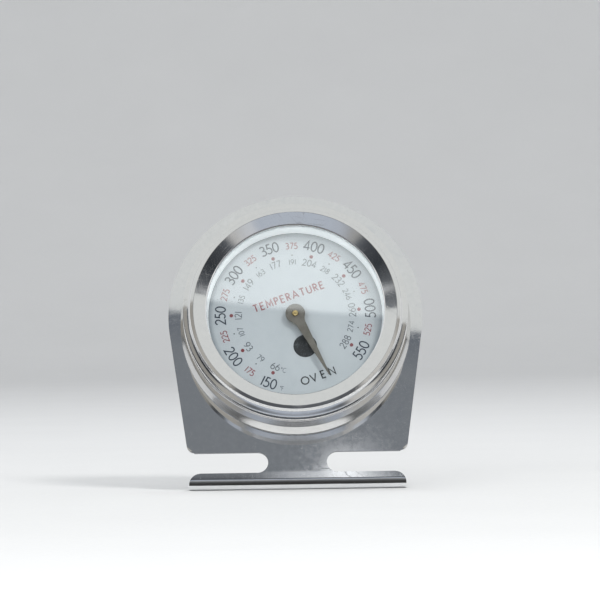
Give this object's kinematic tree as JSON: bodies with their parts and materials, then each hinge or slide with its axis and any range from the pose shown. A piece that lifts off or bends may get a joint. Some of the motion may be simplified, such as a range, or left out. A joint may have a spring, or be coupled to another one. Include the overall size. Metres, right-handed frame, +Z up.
{
  "type": "oven thermometer",
  "caption": "Dial oven thermometer: round metal head with a bimetal pointer under a glass lens, turning on a leaning bent-sheet stand with a foot and side slots for rack wires.",
  "frame": {"origin": "centre of the flat underside of the foot, where the stand rests", "axes": "+X to the right seen from the front, the dial faces -Y and leans back, +Z up"},
  "size_m": [0.0664, 0.0353, 0.0763],
  "materials": {
    "stand_steel": "polished bright stainless sheet with fine handling scratches",
    "case_steel": "bright drawn stainless steel, faint turning lines",
    "bezel_chrome": "polished pressed ring, light scuffs",
    "lens_glass": "clear flat glass",
    "gasket": "dark silicone",
    "spacer_alu": "satin rolled ring",
    "dial_alu": "satin pale blue-grey face with dark navy, red and grey printed scale",
    "inner_alu": "plain mill finish",
    "plain_steel": "plain zinc-bright steel",
    "brass": "turned brass",
    "bimetal": "heat-tinted rolled strip",
    "pointer_bronze": "satin dark bronze-grey"
  },
  "bodies": {
    "stand": {"stand_plate": "stand_steel", "rear_washer": "plain_steel"},
    "head": {"case_cup": "case_steel", "bezel_ring": "bezel_chrome", "lens": "lens_glass", "lens_gasket": "gasket", "spacer_ring": "spacer_alu", "dial_plate": "dial_alu", "dial_support_ring": "inner_alu", "movement_bridge": "plain_steel", "bridge_rivet_left": "plain_steel", "bridge_rivet_right": "plain_steel", "rear_bearing_bush": "brass", "front_bearing_bush": "brass", "coil_anchor_post": "brass", "bimetal_coil": "bimetal", "swivel_rivet": "plain_steel", "friction_washer": "plain_steel"},
    "pointer_assembly": {"pointer": "pointer_bronze", "pointer_bush": "brass", "pointer_spindle": "brass", "coil_hub": "brass"}
  },
  "joints": [
    {"name": "head_turn", "type": "hinge", "parent": "stand", "child": "head", "pos_m": [0, -0.00139, 0.0426], "axis": [0, 0.9478, -0.319], "continuous": true},
    {"name": "pointer_sweep", "type": "hinge", "parent": "head", "child": "pointer_assembly", "pos_m": [0, -0.00139, 0.0426], "axis": [0, 0.9478, -0.319], "range_deg": [-14.4, 327]}
  ]
}
